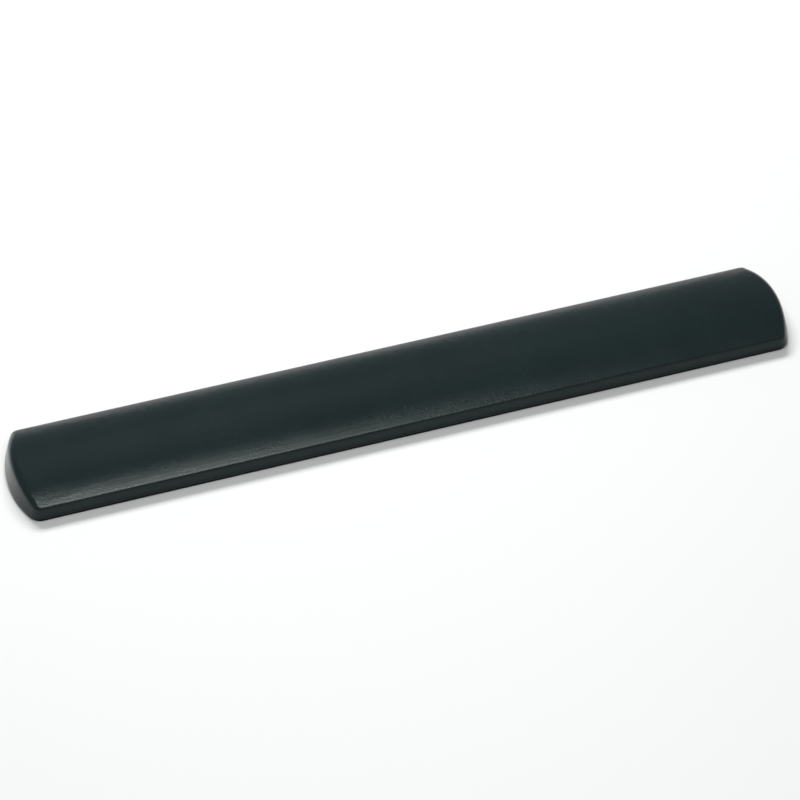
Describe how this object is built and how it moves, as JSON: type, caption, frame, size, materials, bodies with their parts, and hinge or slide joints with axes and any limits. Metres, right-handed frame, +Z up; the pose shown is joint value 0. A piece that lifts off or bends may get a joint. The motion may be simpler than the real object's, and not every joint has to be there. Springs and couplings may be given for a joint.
{
  "type": "keyboard wrist rest",
  "caption": "Long low gel wrist rest for a keyboard: domed leatherette cover with bowed ends, wrapped round a stiff plate on a non-slip mat.",
  "frame": {"origin": "on the desk, at the middle of the footprint", "axes": "+X along the rest, +Y away from the user towards the keyboard, +Z up"},
  "size_m": [0.4826, 0.068, 0.018],
  "materials": {
    "leatherette": "fine pebble grain, satin",
    "pouch_film": "clear soft film, shown pale",
    "gel": "soft clear gel, shown pale blue",
    "base_plastic": "matt black moulded plastic",
    "adhesive": "cloudy double-sided adhesive sheet",
    "mat_rubber": "matt black foamed rubber with a fine raised pattern"
  },
  "bodies": {
    "root": {"leatherette_cover": "leatherette", "gel_pouch_upper_film": "pouch_film", "gel_core": "gel", "gel_pouch_lower_film": "pouch_film", "base_plate": "base_plastic", "mat_adhesive_sheet": "adhesive", "non_slip_mat": "mat_rubber"}
  },
  "joints": []
}
